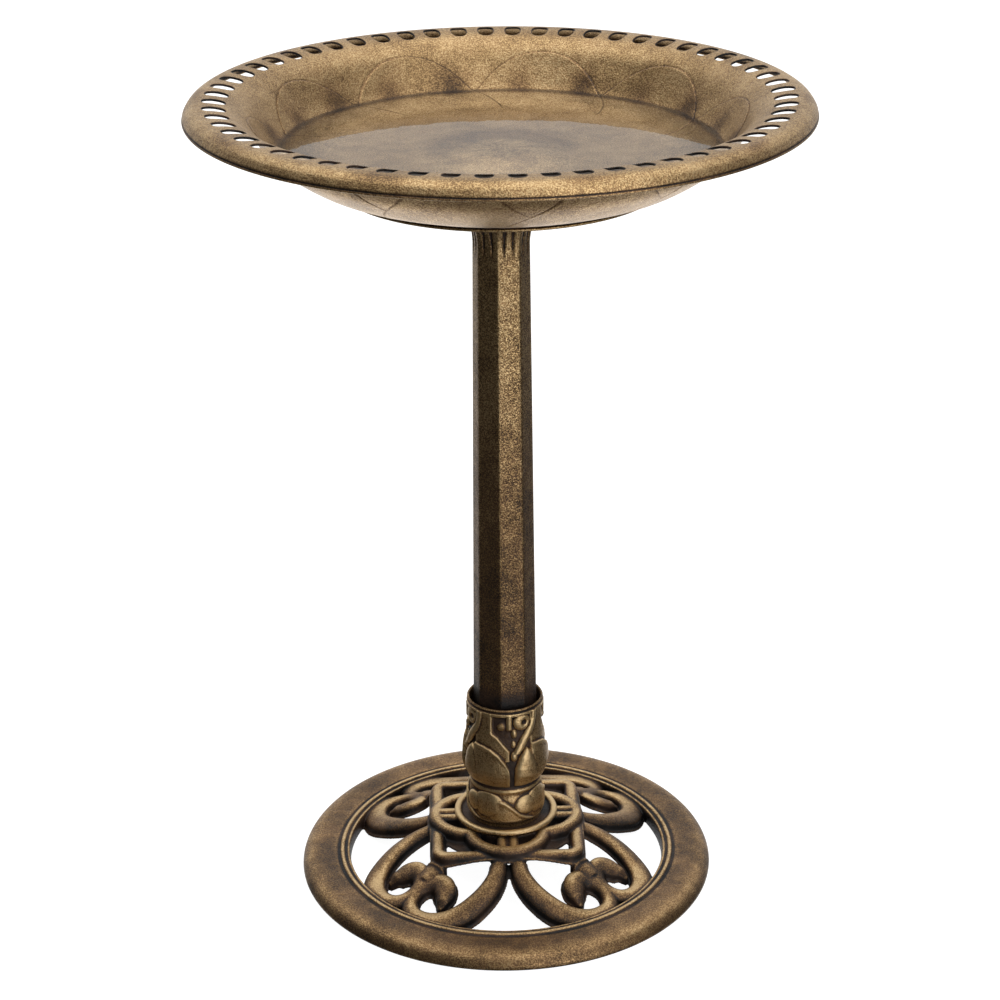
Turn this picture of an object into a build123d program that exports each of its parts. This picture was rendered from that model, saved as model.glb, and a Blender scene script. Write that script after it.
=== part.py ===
"""Pedestal bird bath: a slotted basin that lifts off an octagonal post, a leaf collar and an openwork base.

Millimetres, +Z up. The origin is the centre of the base's footprint, on the ground. The front is -Y.
"""
import os
from math import cos, radians, sin

from build123d import *

# ---- driving dimensions -------------------------------------------------------------------------
HEIGHT = 711.0              # ground to the crest of the basin's rim
BASIN_R = 255.0             # outside of the turned-down rim
CREST_R = 238.0             # the rim's highest circle
WALL = 3.2                  # moulded wall of the basin's floor and side
RIM_WALL = 2.1              # thinner wall of the rim, which the slots go through
FLOOR_Z = 650.0             # top of the basin's floor
FLOOR_R = 132.0             # where the floor turns up into the wall
BOSS_RISE = 9.6             # how far the middle of the floor swells over the socket
BOSS_R = 30.0               # flat top of that swelling
FOOT_R = 133.0              # foot ring under the basin
FOOT_Z = 637.0

SLOT_COUNT = 60             # drain slots round the rim
SLOT_PHASE = 3.0            # degrees from the front to the first slot's middle
SLOT_R = 229.0              # radius of the slots' middles
SLOT_LENGTH = 19.0          # radial
SLOT_WIDTH = 13.5           # round the rim

POLE_BASE_Z = 50.0
POLE_TOP_Z = 618.0
POLE_R_BASE = 29.6          # across the octagon's corners, at the bottom
POLE_R_TOP = 24.4           # at the neck, under the flared head
POLE_WALL = 2.8
POLE_TURN = -7.0            # degrees from +X to one corner of the octagon
NECK_Z = 585.0              # where the head starts to flare
HEAD_R = 31.0

SPIGOT_R = 17.0             # octagonal spigot that carries the basin
SPIGOT_TOP = 643.5
SEAT_Z = 621.7              # top of the spigot's flange, which the basin's socket rests on
SEAT_GAP = 0.3

COLLAR_TOP = 168.5
HUB_Z = 47.0                # top of the base's hub plate
HUB_R = 46.5
BASE_R = 185.1
RING_INNER_R = 142.0
BAR = 16.0                  # width of the base's scroll bars
BAR_DEPTH = 10.0
LATTICE_BAR = 11.4
LATTICE_TOP = 46.8          # top of the lobes and ribs that are laced over the square
SQUARE_HALF = 61.9          # half side of the lattice square, to the middle of its bar
SQUARE_TOP = 42.2
CASTING_TURN = 1.7          # degrees that the openwork is turned about the axis
HUB_UNDER = 38.0            # underside of the hub plate, which the base nut pulls up against

ROD_R = 4.0                 # M8 tie rod down the middle of the post
NUT_FLATS = 13.0
NUT_HEIGHT = 6.5
WASHER = 1.6
SCREW_R = 2.0               # screws that hold the socket under the basin
SCREW_CIRCLE_R = 34.0
SCREW_COUNT = 4


# ---- small helpers ------------------------------------------------------------------------------
def turned(*edges):
    """Solid of revolution about Z of a closed outline drawn in the XZ plane."""
    return revolve(make_face(Curve() + list(edges)), axis=Axis.Z)


def line_points(points):
    return [(r, 0, z) for r, z in points]


def outline(points):
    """Closed straight-sided outline, turned about Z."""
    return turned(Polyline(*line_points(points), close=True))


def octagon(radius, z):
    return Plane.XY.offset(z) * RegularPolygon(radius, 8, rotation=POLE_TURN)


def octagon_prism(r_low, z_low, r_high, z_high):
    return loft([octagon(r_low, z_low), octagon(r_high, z_high)])


def drum(radius, z_low, z_high):
    return Pos(0, 0, z_low) * extrude(Circle(radius), z_high - z_low)


def around(count, first=0.0):
    return [Rot(0, 0, first + k * 360.0 / count) for k in range(count)]


def pole_r(z):
    """Corner radius of the post's octagon at a height below the neck."""
    share = (z - POLE_BASE_Z) / (NECK_Z - POLE_BASE_Z)
    return POLE_R_BASE + share * (POLE_R_TOP - POLE_R_BASE)


# ---- basin --------------------------------------------------------------------------------------
def basin_blank():
    inside = Spline(*line_points([
        (FLOOR_R, FLOOR_Z), (152, 653.2), (181, 669.5), (193, 686), (205, 700.5), (219, 708.5), (CREST_R, HEIGHT),
    ]), tangents=((1, 0, 0), (1, 0, 0)))
    lip_top = ThreePointArc((CREST_R, 0, HEIGHT), (250, 0, 706.6), (BASIN_R, 0, 698))
    lip_edge = Line((BASIN_R, 0, 698), (BASIN_R - RIM_WALL, 0, 698))
    lip_under = ThreePointArc((BASIN_R - RIM_WALL, 0, 698), (248.5, 0, 705.1), (CREST_R, 0, HEIGHT - RIM_WALL))
    outside = Spline(*line_points([
        (CREST_R, HEIGHT - RIM_WALL), (221, 706.6), (208.5, 698.6), (196, 683.5), (184, 667), (160, 650.5),
        (136, 641.5),
    ]), tangents=((-1, 0, 0), (-1, 0, -0.35)))
    foot = Polyline(*line_points([
        (136, 641.5), (131, 640.5), (131, 639.5), (FOOT_R, 639.5), (FOOT_R, FOOT_Z), (FOOT_R - 4, FOOT_Z),
        (FOOT_R - 4, FLOOR_Z - WALL), (SCREW_CIRCLE_R + 8, FLOOR_Z - WALL), (24, FLOOR_Z - WALL), (24, 655), (0, 655),
    ]))
    axis = Line((0, 0, 655), (0, 0, FLOOR_Z + BOSS_RISE))
    boss_top = Line((0, 0, FLOOR_Z + BOSS_RISE), (BOSS_R, 0, FLOOR_Z + BOSS_RISE))
    boss_side = Spline((BOSS_R, 0, FLOOR_Z + BOSS_RISE), (48, 0, FLOOR_Z + 5), (70, 0, FLOOR_Z),
                       tangents=((1, 0, 0), (1, 0, 0)))
    floor = Line((70, 0, FLOOR_Z), (FLOOR_R, 0, FLOOR_Z))
    return turned(inside, lip_top, lip_edge, lip_under, outside, foot, axis, boss_top, boss_side, floor)


def rim_slots():
    """Drain slots: rounded openings, longer along the radius."""
    slot = RectangleRounded(SLOT_LENGTH, SLOT_WIDTH, SLOT_WIDTH * 0.42)
    cutter = Pos(SLOT_R, 0, 690) * extrude(slot, 30)
    return [turn * cutter for turn in around(SLOT_COUNT, SLOT_PHASE - 90)]


def screw_places():
    return [turn * Pos(SCREW_CIRCLE_R, 0, 0) for turn in around(SCREW_COUNT, 45)]


def make_basin():
    pilots = [place * drum(SCREW_R, 640, 655) for place in screw_places()]
    return basin_blank() - rim_slots() - pilots


def make_basin_socket():
    """Flanged sleeve under the basin's floor, with an octagonal pocket for the spigot."""
    flange_z = FLOOR_Z - WALL
    body = drum(SCREW_CIRCLE_R + 8, flange_z - 4, flange_z) + drum(22, SEAT_Z + SEAT_GAP, flange_z)
    pocket = octagon_prism(SPIGOT_R + SEAT_GAP, 600, SPIGOT_R + SEAT_GAP, 700)
    ribs = [turn * Pos(29, 0, flange_z - 9) * Box(18, 3, 10) for turn in around(SCREW_COUNT)]
    holes = [place * drum(SCREW_R, 600, 700) for place in screw_places()]
    return body + ribs - pocket - holes


def make_socket_screws():
    under = FLOOR_Z - WALL - 4
    screw = drum(SCREW_R, under, 655) + drum(3.8, under - 2.6, under)
    slot = Pos(0, 0, under - 2.6) * Box(5.2, 1.1, 2.4)
    cross = slot + Rot(0, 0, 90) * slot
    return [place * (screw - cross) for place in screw_places()]


# ---- post ---------------------------------------------------------------------------------------
def make_pole():
    """Tapered octagonal tube whose head flares out under the basin."""
    shaft = octagon_prism(POLE_R_BASE, POLE_BASE_Z, POLE_R_TOP, NECK_Z)
    flare = octagon_prism(POLE_R_TOP, NECK_Z, 26.0, 597)
    head = octagon_prism(26.0, 597, HEAD_R, 613)
    cap = octagon_prism(HEAD_R, 613, HEAD_R, POLE_TOP_Z)
    bore_r_low = POLE_R_BASE - POLE_WALL / cos(radians(22.5))
    bore_r_top = POLE_R_TOP - POLE_WALL / cos(radians(22.5))
    bore = octagon_prism(bore_r_low, POLE_BASE_Z, bore_r_top, NECK_Z)
    mouth = octagon_prism(bore_r_top, NECK_Z, bore_r_top, POLE_TOP_Z)
    return shaft + flare + head + cap - bore - mouth


def make_top_spigot():
    """Octagonal plug in the post's head; its flange carries the basin and its spigot centres it."""
    bore_r = POLE_R_TOP - POLE_WALL / cos(radians(22.5))
    plug = octagon_prism(bore_r, 592, bore_r, POLE_TOP_Z)
    flange = drum(28, POLE_TOP_Z, SEAT_Z)
    spigot = octagon_prism(SPIGOT_R, SEAT_Z, SPIGOT_R - 0.6, SPIGOT_TOP)
    pocket = drum(12.5, 602, 700)
    return plug + flange + spigot - pocket - drum(ROD_R, 580, 700)


def make_bottom_plug():
    """Octagonal plug that centres the post's foot on the tie rod."""
    wall = POLE_WALL / cos(radians(22.5))
    top = POLE_BASE_Z + 30
    plug = octagon_prism(POLE_R_BASE - wall, POLE_BASE_Z, pole_r(top) - wall, top)
    relief = drum(19, POLE_BASE_Z + 6, 100) - drum(9, 0, 100)
    return plug - relief - drum(ROD_R, 0, 200)


def make_tie_rod():
    rod = drum(ROD_R, 27, 617.5)
    return chamfer(rod.edges(), 0.8)


def washer(radius, z_low):
    return drum(radius, z_low, z_low + WASHER) - drum(ROD_R, z_low - 1, z_low + WASHER + 1)


def nut(z_low):
    hexagon = RegularPolygon(NUT_FLATS / 2, 6, major_radius=False)
    blank = Pos(0, 0, z_low) * extrude(hexagon, NUT_HEIGHT)
    return blank - drum(ROD_R, z_low - 1, z_low + NUT_HEIGHT + 1)


# ---- leaf collar and hub ------------------------------------------------------------------------
def make_leaf_collar():
    """Sleeve round the foot of the post: a bulb, a waist, a long leaf body and a rolled lip."""
    outside = Spline(*line_points([(33.0, 49.5), (34.6, 66), (32.2, 83), (39.0, 104), (36.0, 140), (33.0, 163)]))
    lip = ThreePointArc((33.0, 0, 163), (34.2, 0, 166), (32.4, 0, COLLAR_TOP))
    mouth = Polyline(*line_points([
        (32.4, COLLAR_TOP), (31.6, COLLAR_TOP), (31.2, 150), (30.2, 120), (30.2, 49.5), (33.0, 49.5),
    ]))
    return turned(outside, lip, mouth)


def make_hub_disc():
    """Saucer with a rolled rim that hides the joint between the base and the collar."""
    dish = outline([
        (ROD_R, HUB_Z), (44, HUB_Z), (HUB_R, 49.5), (HUB_R, 51.8), (44.8, 53.2), (42, 53.2), (40.2, 51.8),
        (39, 49.5), (30.0, 49.5), (30.0, POLE_BASE_Z), (ROD_R, POLE_BASE_Z),
    ])
    return dish


# ---- base ---------------------------------------------------------------------------------------
DOME = [(0, 43), (46, 43), (62, 41), (75, 36.5), (90, 30.7), (105, 25), (120, 18.4), (132, 13), (146, 11.5)]

SCROLL = [(7, -66), (13.4, -84), (32, -106), (58, -118.5), (82, -110), (85.5, -88), (70, -77), (58.5, -83)]
HEAD = (57, -88)
HEAD_TIP = (61, -102)


def dome_shell():
    """Shallow dome that the openwork is cut from."""
    top = line_points(DOME)
    bottom = [(r, 0, z - BAR_DEPTH) for r, _, z in top]
    edges = [Line(top[0], top[1]), Spline(*top[1:]), Line(top[-1], bottom[-1]),
             Spline(*bottom[:0:-1]), Line(bottom[1], bottom[0]), Line(bottom[0], top[0])]
    return turned(*edges)


def scroll_plan():
    """One curl: it leaves the lattice, runs out to the ring and turns back to a pointed head."""
    bar = trace(Spline(*SCROLL), line_width=BAR)
    head = Pos(*HEAD) * Circle(9.5)
    beak = make_face(Polyline((HEAD[0] - 9, HEAD[1] - 3), HEAD_TIP, (HEAD[0] + 9, HEAD[1] - 3), HEAD, close=True))
    return bar + head + beak


def lobes_plan():
    """Four round lobes that cross each other, each with a rib down its middle."""
    lobe = Pos(0, -31.6) * (Circle(32 + LATTICE_BAR / 2) - Circle(32 - LATTICE_BAR / 2))
    rib = Pos(0, -50) * Rectangle(19, 26)
    plan = lobe + rib
    for turn in around(3, 90):
        plan += turn * (lobe + rib)
    return plan


def square_plan():
    """Rounded square under the lobes."""
    outer = 2 * SQUARE_HALF + LATTICE_BAR
    inner = 2 * SQUARE_HALF - LATTICE_BAR
    return RectangleRounded(outer, outer, 14) - RectangleRounded(inner, inner, 3.5)


def stubs_plan():
    """Stub out along each diagonal, from the square's corner to the two curls."""
    plan = Sketch()
    for turn in around(4):
        plan += turn * Pos(67, -67) * Rot(0, 0, 45) * Rectangle(19, 20)
    return plan


def web():
    """Thin plate behind the lattice, which leaves only a small window in each corner of the square."""
    plate = Circle(66.5) & Rectangle(116, 116)
    return Pos(0, 0, HUB_UNDER - 3) * extrude(plate, 2.6) - drum(40, 0, HUB_Z)


def ring():
    """Broad foot ring: an inner lip and bead, a crowned band and a rolled outer edge."""
    lip = Polyline(*line_points([(RING_INNER_R, 0), (RING_INNER_R, 9), (143.4, 13.4), (145.8, 12.6), (147.2, 13.6)]))
    bead = ThreePointArc((147.2, 0, 13.6), (149.1, 0, 15.0), (151, 0, 13.6))
    groove = Line((151, 0, 13.6), (153, 0, 12.9))
    band = Spline((153, 0, 12.9), (160, 0, 14.1), (167, 0, 14.5), (174, 0, 14.1), (180, 0, 12), (183.6, 0, 8),
                  (BASE_R, 0, 1.5))
    under = Polyline(*line_points([
        (BASE_R, 1.5), (BASE_R - 1, 0), (BASE_R - 4.5, 0), (177, 6), (168, 9.2), (152, 7.6), (149, 0),
        (RING_INNER_R, 0),
    ]))
    return turned(lip, bead, groove, band, under)


def make_base():
    scroll = scroll_plan()
    pair = scroll + mirror(scroll, Plane(origin=(0, 0, 0), z_dir=(1, 1, 0)))
    plan = stubs_plan()
    for turn in around(4):
        plan += turn * pair
    openwork = dome_shell() & extrude(plan, 80)
    square = Pos(0, 0, SQUARE_TOP - BAR_DEPTH) * extrude(square_plan(), BAR_DEPTH)
    lobes = Pos(0, 0, HUB_UNDER) * extrude(lobes_plan(), LATTICE_TOP - HUB_UNDER)
    casting = Rot(0, 0, CASTING_TURN) * (openwork + square + lobes + web())
    plate = drum(44, HUB_UNDER, HUB_Z)
    skirt = drum(42, HUB_UNDER - 7, HUB_UNDER) - drum(38, 0, HUB_Z)
    return ring() + casting + plate + skirt - drum(ROD_R, 0, 100)


def main():
    os.makedirs("parts", exist_ok=True)
    parts = {
        "basin": make_basin(),
        "basin_socket": make_basin_socket(),
        "socket_screws": make_socket_screws(),
        "top_spigot": make_top_spigot(),
        "pole": make_pole(),
        "bottom_plug": make_bottom_plug(),
        "tie_rod": make_tie_rod(),
        "rod_top_washer": washer(11, 602),
        "rod_top_nut": nut(602 + WASHER),
        "leaf_collar": make_leaf_collar(),
        "hub_disc": make_hub_disc(),
        "base": make_base(),
        "rod_base_washer": washer(15, HUB_UNDER - WASHER),
        "rod_base_nut": nut(HUB_UNDER - WASHER - NUT_HEIGHT),
    }
    for name, shape in parts.items():
        if isinstance(shape, list):
            shape = Compound(children=shape)
        export_step(shape, f"parts/{name}.step")


main()
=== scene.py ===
"""Looks of the pedestal bird bath.

Sculpted bronze pieces replace the plain CAD of basin, post, collar, saucer and base, and clear water
fills the basin. Lengths are in millimetres until make_mesh turns them into metres. Azimuths are in
degrees from the front (-Y) towards +X.
"""

import math

import bmesh
import bpy
import numpy as np
from mathutils import Matrix, Vector

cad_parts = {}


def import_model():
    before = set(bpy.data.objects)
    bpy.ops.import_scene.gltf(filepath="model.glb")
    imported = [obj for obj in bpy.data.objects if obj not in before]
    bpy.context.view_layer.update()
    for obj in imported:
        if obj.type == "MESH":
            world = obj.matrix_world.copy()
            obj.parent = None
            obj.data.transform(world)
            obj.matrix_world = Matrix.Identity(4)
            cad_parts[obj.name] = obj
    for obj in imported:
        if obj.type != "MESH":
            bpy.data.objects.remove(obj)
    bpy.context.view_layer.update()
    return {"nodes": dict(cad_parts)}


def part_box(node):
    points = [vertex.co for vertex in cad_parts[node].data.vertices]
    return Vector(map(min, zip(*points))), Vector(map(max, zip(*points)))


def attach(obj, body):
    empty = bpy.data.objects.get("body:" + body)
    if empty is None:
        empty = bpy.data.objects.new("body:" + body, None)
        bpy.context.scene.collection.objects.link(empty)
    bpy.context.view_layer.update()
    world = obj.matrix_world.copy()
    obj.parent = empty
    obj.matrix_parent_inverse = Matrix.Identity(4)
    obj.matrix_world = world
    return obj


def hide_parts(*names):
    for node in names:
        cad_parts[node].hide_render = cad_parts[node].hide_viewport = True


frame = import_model()

MM = 0.001
MERGE_DISTANCE = 2e-6           # metres
COLLAPSED_EDGE = 1e-7           # metres


def mm_box(node):
    """Lowest and highest corner of a CAD node, in millimetres."""
    low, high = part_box(node)
    return np.array(low) / MM, np.array(high) / MM


POLE_LOW, POLE_HIGH = mm_box("pole")
COLLAR_LOW, COLLAR_HIGH = mm_box("leaf_collar")
HUB_LOW, HUB_HIGH = mm_box("hub_disc")
FOOT_Z = mm_box("basin")[0][2]


# ---- numbers and curves -------------------------------------------------------------------------
def smoothstep(value, low, high):
    t = np.clip((value - low) / (high - low), 0.0, 1.0)
    return t * t * (3 - 2 * t)


def bell(value, width):
    return np.exp(-(value / width) ** 2)


def smooth_path(points, step, closed=False):
    """Catmull-Rom curve through points, resampled at about the given spacing."""
    p = np.asarray(points, float)
    if closed:
        p = np.vstack([p[-1], p, p[0], p[1]])
    else:
        p = np.vstack([2 * p[0] - p[1], p, 2 * p[-1] - p[-2]])
    runs = []
    t = np.linspace(0, 1, 24, endpoint=False)[:, None]
    for a, b, c, d in zip(p[:-3], p[1:-2], p[2:-1], p[3:]):
        square = 2 * a - 5 * b + 4 * c - d
        cubic = 3 * b - a - 3 * c + d
        runs.append(0.5 * (2 * b + (c - a) * t + square * t**2 + cubic * t**3))
    if not closed:
        runs.append(p[-2][None])
    return resample(np.vstack(runs), step)


def resample(points, step):
    """The same line with its points at about an even spacing."""
    length = np.concatenate([[0], np.cumsum(np.linalg.norm(np.diff(points, axis=0), axis=1))])
    count = max(int(round(length[-1] / step)), 2)
    at = np.linspace(0, length[-1], count + 1)
    return np.stack([np.interp(at, length, points[:, k]) for k in range(points.shape[1])], 1)


def rounded_path(points, cut, step):
    """Straight-sided outline whose corners are rounded, each from `cut` mm before it."""
    p = np.asarray(points, float)
    out = [p[0]]
    for a, b, c in zip(p[:-2], p[1:-1], p[2:]):
        reach = min(cut, 0.45 * np.linalg.norm(b - a), 0.45 * np.linalg.norm(c - b))
        start = b + (a - b) / np.linalg.norm(a - b) * reach
        end = b + (c - b) / np.linalg.norm(c - b) * reach
        for t in np.linspace(0, 1, 6):
            out.append((1 - t) ** 2 * start + 2 * t * (1 - t) * b + t * t * end)
    out.append(p[-1])
    return resample(np.array(out), step)


# ---- meshes -------------------------------------------------------------------------------------
def make_mesh(name, points, quads):
    """Mesh object in metres from points in millimetres."""
    mesh = bpy.data.meshes.new(name)
    points = np.asarray(points, float)
    quads = np.asarray(quads, int)
    mesh.vertices.add(len(points))
    mesh.vertices.foreach_set("co", (points * MM).ravel())
    mesh.loops.add(quads.size)
    mesh.loops.foreach_set("vertex_index", quads.ravel())
    mesh.polygons.add(len(quads))
    mesh.polygons.foreach_set("loop_start", np.arange(len(quads)) * 4)
    mesh.update(calc_edges=True)
    obj = bpy.data.objects.new(name, mesh)
    bpy.context.scene.collection.objects.link(obj)
    return obj


def clean(obj):
    """Merges doubled points, drops the faces that collapse, and turns the faces outwards."""
    bm = bmesh.new()
    bm.from_mesh(obj.data)
    bmesh.ops.remove_doubles(bm, verts=bm.verts, dist=MERGE_DISTANCE)
    bmesh.ops.dissolve_degenerate(bm, edges=bm.edges, dist=COLLAPSED_EDGE)
    bmesh.ops.recalc_face_normals(bm, faces=bm.faces)
    bm.to_mesh(obj.data)
    bm.free()
    obj.data.shade_smooth()
    return obj


def grid_quads(rows, cols, start=0):
    """Quads between rows of points, each row closed on itself."""
    i = np.arange(rows - 1)[:, None]
    j = np.arange(cols)[None, :]
    a = start + i * cols + j
    b = start + i * cols + (j + 1) % cols
    return np.stack([a, b, b + cols, a + cols], -1).reshape(-1, 4)


def azimuths(count, first=0.0):
    """Even azimuths all the way round."""
    return first + np.arange(count) * 360.0 / count


def from_nearest(az, first, pitch):
    """Degrees from the nearest of a ring of azimuths that starts at first and repeats every pitch."""
    return (az - first + pitch / 2) % pitch - pitch / 2


def to_xyz(az, r, z):
    """Points from azimuth, radius and height."""
    turn, r, z = np.broadcast_arrays(np.radians(az), r, z)
    return np.stack([r * np.sin(turn), -r * np.cos(turn), z], -1)


def profile_normals(profile):
    """Unit normals of an (r, z) outline, to the left of its direction."""
    step = np.gradient(profile, axis=0)
    normal = np.stack([-step[:, 1], step[:, 0]], 1)
    return normal / np.maximum(np.linalg.norm(normal, axis=1, keepdims=True), 1e-9)


def turned_rows(profile, az, relief=None):
    """Points of a turned surface, pushed along the profile's normal by relief(az, r, z)."""
    r = profile[:, :1] + 0 * az[None]
    z = profile[:, 1:] + 0 * az[None]
    if relief is not None:
        normal = profile_normals(profile)
        push = relief(az[None] + 0 * r, r, z)
        r, z = r + normal[:, :1] * push, z + normal[:, 1:] * push
    return to_xyz(az[None], np.maximum(r, 0), z)


def turned(profile, count):
    """Points and quads of an outline turned about the axis."""
    return turned_rows(profile, azimuths(count)).reshape(-1, 3), grid_quads(len(profile), count)


def store(obj, name, values):
    """Keeps one number per point on the mesh, for a material to read."""
    layer = obj.data.attributes.new(name=name, type="FLOAT", domain="POINT")
    layer.data.foreach_set("value", np.asarray(values, np.float32))


def coords(obj):
    """The mesh's points, in millimetres."""
    co = np.zeros(len(obj.data.vertices) * 3)
    obj.data.vertices.foreach_get("co", co)
    return co.reshape(-1, 3) / MM


def normals(obj):
    n = np.zeros(len(obj.data.vertices) * 3)
    obj.data.vertices.foreach_get("normal", n)
    return n.reshape(-1, 3)


def hollowness(obj, rounds, reach):
    """How far each point lies below (+) or above (-) its smoothed surroundings, over `reach` mm."""
    co, normal = coords(obj), normals(obj)
    edge = np.zeros(len(obj.data.edges) * 2, int)
    obj.data.edges.foreach_get("vertices", edge)
    a, b = edge.reshape(-1, 2).T
    count = np.bincount(a, minlength=len(co)) + np.bincount(b, minlength=len(co))
    soft = co.copy()
    for _ in range(rounds):
        total = np.stack([
            np.bincount(a, soft[b, k], len(co)) + np.bincount(b, soft[a, k], len(co)) for k in range(3)
        ], 1)
        soft = 0.5 * soft + 0.5 * total / np.maximum(count, 1)[:, None]
    return np.clip(((soft - co) * normal).sum(1) / reach, -1, 1)


def plan(points):
    """Azimuth in degrees and radius of each point."""
    return np.degrees(np.arctan2(points[:, 0], -points[:, 1])), np.hypot(points[:, 0], points[:, 1])


# ---- materials ----------------------------------------------------------------------------------
class Shader:
    """Small helper that adds and links shader nodes."""

    def __init__(self, name):
        self.material = bpy.data.materials.new(name)
        self.material.use_nodes = True
        self.tree = self.material.node_tree
        self.surface = self.tree.nodes["Principled BSDF"]
        self.place = self.add("ShaderNodeTexCoord").outputs["Object"]

    def add(self, kind, **settings):
        node = self.tree.nodes.new(kind)
        for key, value in settings.items():
            setattr(node, key, value)
        return node

    def feed(self, socket, value):
        if isinstance(value, bpy.types.NodeSocket):
            self.tree.links.new(value, socket)
        else:
            socket.default_value = value

    def math(self, operation, a, b=0.0, clamp=False):
        node = self.add("ShaderNodeMath", operation=operation, use_clamp=clamp)
        self.feed(node.inputs[0], a)
        self.feed(node.inputs[1], b)
        return node.outputs[0]

    def spread(self, value, low, high, to_low=0.0, to_high=1.0):
        node = self.add("ShaderNodeMapRange", interpolation_type="SMOOTHSTEP")
        for socket, number in zip(node.inputs, (value, low, high, to_low, to_high)):
            self.feed(socket, number)
        return node.outputs[0]

    def noise(self, size_mm, detail=3.0, rough=0.55, stretch=(1, 1, 1), seed=0.0):
        """Noise whose main feature is about size_mm across."""
        shift = self.add("ShaderNodeMapping")
        self.feed(shift.inputs["Vector"], self.place)
        shift.inputs["Scale"].default_value = stretch
        shift.inputs["Location"].default_value = (seed, seed * 0.7, seed * 1.3)
        node = self.add("ShaderNodeTexNoise")
        self.feed(node.inputs["Vector"], shift.outputs[0])
        node.inputs["Scale"].default_value = 1000.0 / size_mm
        node.inputs["Detail"].default_value = detail
        node.inputs["Roughness"].default_value = rough
        return node.outputs["Fac"]

    def attribute(self, name):
        return self.add("ShaderNodeAttribute", attribute_name=name).outputs["Fac"]

    def ramp(self, value, stops):
        node = self.add("ShaderNodeValToRGB")
        self.feed(node.inputs[0], value)
        elements = node.color_ramp.elements
        while len(elements) < len(stops):
            elements.new(0.5)
        for element, (at, colour) in zip(elements, stops):
            element.position = at
            element.color = (*colour, 1)
        return node.outputs["Color"]

    def mix(self, amount, a, b):
        node = self.add("ShaderNodeMix", data_type="RGBA")
        self.feed(node.inputs["Factor"], amount)
        self.feed(node.inputs["A"], a)
        self.feed(node.inputs["B"], b)
        return node.outputs["Result"]

    def bump(self, *layers):
        """Bump from (height, depth_mm) layers."""
        normal = None
        for height, depth in layers:
            node = self.add("ShaderNodeBump")
            node.inputs["Strength"].default_value = 1.0
            node.inputs["Distance"].default_value = depth * MM
            self.feed(node.inputs["Height"], height)
            if normal is not None:
                self.feed(node.inputs["Normal"], normal)
            normal = node.outputs[0]
        self.feed(self.surface.inputs["Normal"], normal)

    def set(self, **values):
        for key, value in values.items():
            self.feed(self.surface.inputs[key.replace("_", " ")], value)


BRONZE_STOPS = [
    (0.00, (0.006, 0.005, 0.005)),
    (0.22, (0.022, 0.014, 0.010)),
    (0.45, (0.085, 0.050, 0.026)),
    (0.65, (0.210, 0.127, 0.060)),
    (0.85, (0.430, 0.280, 0.128)),
    (1.00, (0.650, 0.475, 0.250)),
]


def antique_bronze(name, gold, speckle=0.3, cloud=0.25, rub_and_highlight_gold=0.25, stain=0.0, seed=0.0):
    """Gold rubbed over speckled dark brown: darker in the hollows and where shade is painted, brighter on the
    ridges and where highlights are painted.
    """
    s = Shader(name)
    # One attribute brings dark patina in the hollows together with painted shade, the other rubbed gold
    # together with painted highlights.
    patina_and_shade = s.attribute("patina_and_shade")
    rubbed_and_highlight = s.attribute("rubbed_and_highlight")
    grain = s.spread(s.noise(1.3, 2.0, 0.7, seed=seed), 0.36, 0.64)
    fine = s.spread(s.noise(0.55, 1.0, 0.5, seed=seed + 3), 0.35, 0.65)
    clouds = s.spread(s.noise(46, 3.0, 0.6, seed=seed + 7), 0.3, 0.7)
    patches = s.spread(s.noise(13, 3.0, 0.65, seed=seed + 11), 0.3, 0.7)
    worn_and_lit = s.math("MULTIPLY", rubbed_and_highlight, rub_and_highlight_gold)
    level = s.math("ADD", worn_and_lit, gold)
    for value, weight in ((clouds, cloud), (patches, cloud * 0.5)):
        level = s.math("ADD", level, s.math("MULTIPLY", s.math("SUBTRACT", value, 0.5), weight))
    # The patina and the painted shade darken the colour here.
    dark = s.math("MULTIPLY", patina_and_shade, 0.75)
    if stain:
        spots = s.math("MULTIPLY", s.attribute("stain"), stain)
        level = s.math("SUBTRACT", level, spots)
    grit = s.math("ADD", s.math("MULTIPLY", grain, 0.7), s.math("MULTIPLY", fine, 0.3))
    level = s.math("ADD", level, s.math("MULTIPLY", s.math("SUBTRACT", grit, 0.5), speckle))
    level = s.math("SUBTRACT", level, dark, clamp=True)
    colour = s.ramp(level, BRONZE_STOPS)
    warm = s.mix(s.spread(clouds, 0.2, 0.9, 0.0, 0.35), colour, s.mix(0.5, colour, (0.20, 0.10, 0.055, 1)))
    s.set(
        Base_Color=warm,
        Metallic=s.spread(level, 0.1, 0.7, 0.35, 0.92),
        Roughness=s.math("ADD", s.spread(level, 0.1, 0.9, 0.50, 0.34), s.math("MULTIPLY", fine, 0.08)),
    )
    s.bump((patches, 0.25), (grain, 0.10))
    return s.material


def black_plastic():
    s = Shader("black_plastic_moulding")
    grain = s.noise(0.8, 2.0, 0.6)
    scuffs = s.spread(s.noise(9, 4.0, 0.7, stretch=(1, 1, 0.3)), 0.55, 0.75)
    s.set(
        Base_Color=s.ramp(scuffs, [(0, (0.018, 0.017, 0.016)), (1, (0.06, 0.057, 0.053))]),
        Roughness=s.spread(scuffs, 0, 1, 0.5, 0.68),
    )
    s.bump((grain, 0.06), (scuffs, 0.05))
    return s.material


def zinc_steel():
    s = Shader("zinc_plated_steel")
    bloom = s.spread(s.noise(5, 4.0, 0.65), 0.35, 0.7)
    lines = s.noise(0.5, 2.0, 0.5, stretch=(1, 1, 6))
    s.set(
        Base_Color=s.ramp(bloom, [
            (0, (0.50, 0.50, 0.47)), (0.7, (0.62, 0.61, 0.57)), (1, (0.35, 0.33, 0.29)),
        ]),
        Metallic=0.95,
        Roughness=s.spread(bloom, 0, 1, 0.28, 0.5),
    )
    s.bump((lines, 0.03), (bloom, 0.03))
    return s.material


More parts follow.
